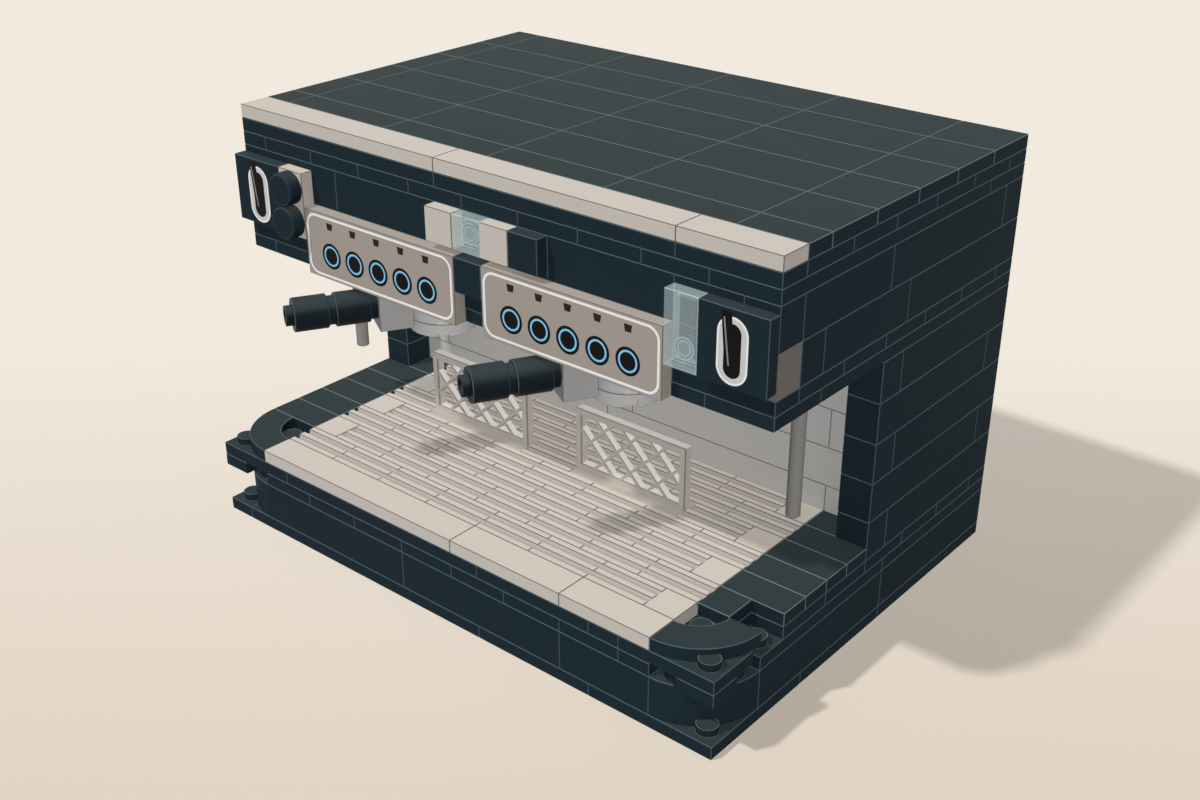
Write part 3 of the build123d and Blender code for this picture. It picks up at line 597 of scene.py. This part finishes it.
class COFFEE_OT_groups(bpy.types.Operator):
    """Dress the coffee groups and the steam wands"""

    bl_idname = "coffee.groups"
    bl_label = "Groups and wands"

    def execute(self, context):
        look = context.scene.block_plastics
        level, handle = round_edges(UP), round_edges(HANDLE_AXIS)
        grey_lines = (level, look.grey_line)
        rounds = [f"portafilter_{part}_{side}" for part in ("basket", "spout") for side in SIDES]
        dress(moulded("grey moulded ABS, groups", look.grey, grey_lines), "group_mounts", *rounds)
        dress(moulded("grey moulded ABS, holders", look.holder, (handle, look.grey_line)),
              *[f"portafilter_holder_{side}" for side in SIDES])
        grips = [f"portafilter_{part}_{side}" for part in ("grip", "stem") for side in SIDES]
        # The grips' upper sides are painted paler, as a painted highlight
        top_light_coat = (painted_top_light, look.dark_top_sheen)
        lines = (handle, look.dark_line)
        dress(moulded("dark moulded ABS, grips", look.grip, top_light_coat, lines, ior=look.grip_ior), *grips)
        dress(moulded("grey moulded ABS, wands", look.wand, grey_lines), "wand_left", "wand_right")
        dress(moulded("dark moulded ABS, sockets", look.dark, (level, look.dark_line)), "wand_sockets")
        return {"FINISHED"}


class COFFEE_OT_panel_prints(bpy.types.Operator):
    """Print the outlines, buttons and cup marks on the two panels"""

    bl_idname = "coffee.panel_prints"
    bl_label = "Panel prints"

    def execute(self, context):
        ask = context.scene.block_prints
        white, black = ink("white ink", ask.white), ink("black ink", ask.black)
        blue, brown = ink("blue ink", ask.blue), ink("brown ink", ask.brown)
        for side in SIDES:
            low, high = (np.array(corner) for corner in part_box(f"panel_{side}"))
            face, over, middle = low[1], low[1] - ask.ink, (low + high)[[0, 2]] / 2
            size = (high - low)[[0, 2]] - 2 * ask.margin
            outer = rounded(*size, ask.corner, middle)
            inner = rounded(*(size - 2 * ask.stroke), ask.corner - ask.stroke, middle)
            piece(f"panel_outline_{side}", [film(outer, face, over, inner)], white)
            places = middle[0] + (np.arange(ask.buttons) - (ask.buttons - 1) / 2) * ask.button_step
            spots = [(x, low[2] + ask.button_up) for x in places]
            discs = [film(disc(ask.button, spot), face, over) for spot in spots]
            piece(f"button_discs_{side}", discs, black)
            rings = [film(disc(ask.ring_out, spot), over, over - ask.ink, disc(ask.ring_in, spot))
                     for spot in spots]
            piece(f"button_rings_{side}", rings, blue)
            top, foot, half = ask.cup_top / 2, ask.cup_foot / 2, ask.cup_tall / 2
            cup = np.array([(-foot, -half), (foot, -half), (top, half), (-top, half)])
            cups = [film(cup + (x, low[2] + ask.cup_up), face, over) for x in places]
            piece(f"cup_marks_{side}", cups, brown)
        return {"FINISHED"}


class COFFEE_OT_switch_prints(bpy.types.Operator):
    """Print a plate, a slot and a lever on the two switch tiles"""

    bl_idname = "coffee.switch_prints"
    bl_label = "Switch prints"

    def execute(self, context):
        ask = context.scene.block_prints
        white, black = ink("white ink, switches", ask.white), ink("black ink, switches", ask.black)
        shine, grey = ink("grey ink", ask.shine), ink("grey ink, plates", ask.plate)
        low, high = (np.array(corner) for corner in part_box("switch_tiles"))
        tile = high[2] - low[2]
        for side, left in (("left", low[0]), ("right", high[0] - tile)):
            foot = np.array([left, low[2]])
            face, over, above, highest, last = low[1] - np.arange(LAYERS) * ask.ink
            middle = foot + np.array(ask.switch_at)
            inside = [size - 2 * ask.switch_rim for size in ask.switch_size]
            rim, plate, slot = (rounded(*size, size[0] / 2, middle)
                                for size in (ask.switch_size, inside, ask.slot_size))
            piece(f"switch_rim_{side}", [film(rim, face, over, plate)], white)
            piece(f"switch_plate_{side}", [film(plate, face, over)], grey)
            piece(f"switch_slot_{side}", [film(slot, over, above)], black)
            lever, glint = (foot + np.reshape(points, (-1, 2)) for points in (ask.lever, ask.glint))
            piece(f"switch_lever_{side}", [film(lever, over, highest)], black)
            piece(f"switch_glint_{side}", [film(glint, highest, last)], shine)
        return {"FINISHED"}


class COFFEE_OT_clear_studs(bpy.types.Operator):
    """Draw the hollow studs that show through the two clear tiles"""

    bl_idname = "coffee.clear_studs"
    bl_label = "Clear studs"

    def execute(self, context):
        ask = context.scene.block_prints
        clear, rim = ink("clear stud", ask.clear_stud), ink("clear stud, rims", ask.clear_rim)
        for tile in ("face_clear_tile", "side_clear_tile"):
            low, high = (np.array(corner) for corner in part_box(tile))
            spot = ((low[0] + high[0]) / 2, low[2] + ask.stud_up)
            face = high[1] - ask.stud_tall
            over = face - ask.ink
            piece(f"{tile}_stud", [film(disc(ask.stud, spot), face, over)], clear)
            rims = [film(disc(radius, spot), over, over - ask.ink, disc(radius - ask.stud_rim, spot))
                    for radius in (ask.stud, ask.stud_hole)]
            piece(f"{tile}_stud_rims", rims, rim)
        return {"FINISHED"}


def seen(tree):
    """One where a surface is seen straight, mirrored or through something clear, not by its light alone."""
    path = node(tree, "ShaderNodeLightPath").outputs
    straight = node(tree, MATHS, {0: path["Is Camera Ray"], 1: path["Is Glossy Ray"]}, operation="MAXIMUM")
    return node(tree, MATHS, {0: straight, 1: path["Is Transmission Ray"]}, operation="MAXIMUM")


def paper(ask):
    """Matt paper: pale, and painted paler towards the back as uneven light; the blocks get less of its light
    back.
    """

    def paint(tree):
        where = node(tree, PLACE)
        along = node(tree, VECTORS, {0: where.outputs["Object"], 1: ask.floor_turn}, operation="DOT_PRODUCT")
        near, far = ask.floor_fade
        share = node(tree, RANGE, {0: along, 1: near, 2: far, 3: 0.0, 4: 1.0})
        shown = node(tree, MIX, {0: share, 6: ask.floor_near, 7: ask.floor_far}, data_type="RGBA")
        return node(tree, MIX, {0: seen(tree), 6: ask.floor_bounce, 7: shown}, data_type="RGBA")

    return surface("matt paper", {"Base Color": paint}, {"Roughness": 0.9, "Specular IOR Level": 0.0})


def lamp(name, strength, turn):
    """A distant lamp without shadow, given the direction towards it."""
    light = bpy.data.lights.new(name, "SUN")
    light.energy, light.use_shadow = strength, False
    made = bpy.data.objects.new(name, light)
    made.rotation_euler = Vector(turn).to_track_quat("Z", "Y").to_euler()
    bpy.context.scene.collection.objects.link(made)
    return made


class COFFEE_OT_stage(bpy.types.Operator):
    """Set the floor, the light and the camera"""

    bl_idname = "coffee.stage"
    bl_label = "Stage"

    def execute(self, context):
        ask = context.scene.block_stage
        scene = context.scene
        scene.view_settings.view_transform = "Standard"
        half = ask.floor_size / 2
        mesh = bpy.data.meshes.new("floor")
        square = [(-half, -half, 0), (half, -half, 0), (half, half, 0), (-half, half, 0)]
        mesh.from_pydata(square, [], [(0, 1, 2, 3)])
        floor = bpy.data.objects.new("floor", mesh)
        scene.collection.objects.link(floor)
        mesh.materials.append(paper(ask))

        sun = lamp("main_light", ask.sun, ask.sun_turn).data
        sun.angle, sun.use_shadow = ask.sun_size, True
        lamp("fill_light", ask.fill, ask.fill_turn)
        lamp("back_light", ask.back, ask.back_turn).visible_glossy = False

        world = bpy.data.worlds.new("studio")
        world.use_nodes = True
        scene.world = world
        tree = world.node_tree
        sky = (ask.sky, ask.sky, ask.sky, 1)
        shown = node(tree, MIX, {0: seen(tree), 6: sky, 7: ask.backdrop}, data_type="RGBA")
        tree.links.new(shown.outputs[2], tree.nodes["Background"].inputs["Color"])

        lens = bpy.data.cameras.new("camera")
        lens.sensor_width, lens.lens = SENSOR, ask.lens
        lens.clip_start = NEAR_CLIP
        camera = bpy.data.objects.new("camera", lens)
        camera.location = ask.camera
        camera.rotation_euler = Vector(ask.aim).to_track_quat("-Z", "Y").to_euler()
        scene.collection.objects.link(camera)
        scene.camera = camera
        return {"FINISHED"}


STEPS = (COFFEE_OT_base, COFFEE_OT_tray, COFFEE_OT_body, COFFEE_OT_face, COFFEE_OT_groups,
         COFFEE_OT_panel_prints, COFFEE_OT_switch_prints, COFFEE_OT_clear_studs, COFFEE_OT_stage)
GROUPS = {"block_plastics": PlasticSettings, "block_prints": PrintSettings, "block_stage": StageSettings}


class COFFEE_PT_panel(bpy.types.Panel):
    """Lists the steps that dress the machine"""

    bl_label = "Block coffee machine"
    bl_idname = "COFFEE_PT_panel"
    bl_space_type = "VIEW_3D"
    bl_region_type = "UI"
    bl_category = "Coffee"

    def draw(self, context):
        for step in STEPS:
            self.layout.operator(step.bl_idname)
        for name, group in GROUPS.items():
            box = self.layout.box()
            for setting in group.__annotations__:
                box.prop(getattr(context.scene, name), setting)


def register():
    """Register the settings, the steps and the panel."""
    for name, group in GROUPS.items():
        bpy.utils.register_class(group)
        setattr(bpy.types.Scene, name, bpy.props.PointerProperty(type=group))
    for shown in (*STEPS, COFFEE_PT_panel):
        bpy.utils.register_class(shown)


def unregister():
    """Take the panel, the steps and the settings away again."""
    for shown in (COFFEE_PT_panel, *reversed(STEPS)):
        bpy.utils.unregister_class(shown)
    for name, group in GROUPS.items():
        delattr(bpy.types.Scene, name)
        bpy.utils.unregister_class(group)


def main():
    """Run every step in order."""
    register()
    for step in STEPS:
        family, name = step.bl_idname.split(".")
        getattr(getattr(bpy.ops, family), name)()


if __name__ == "__main__":
    main()
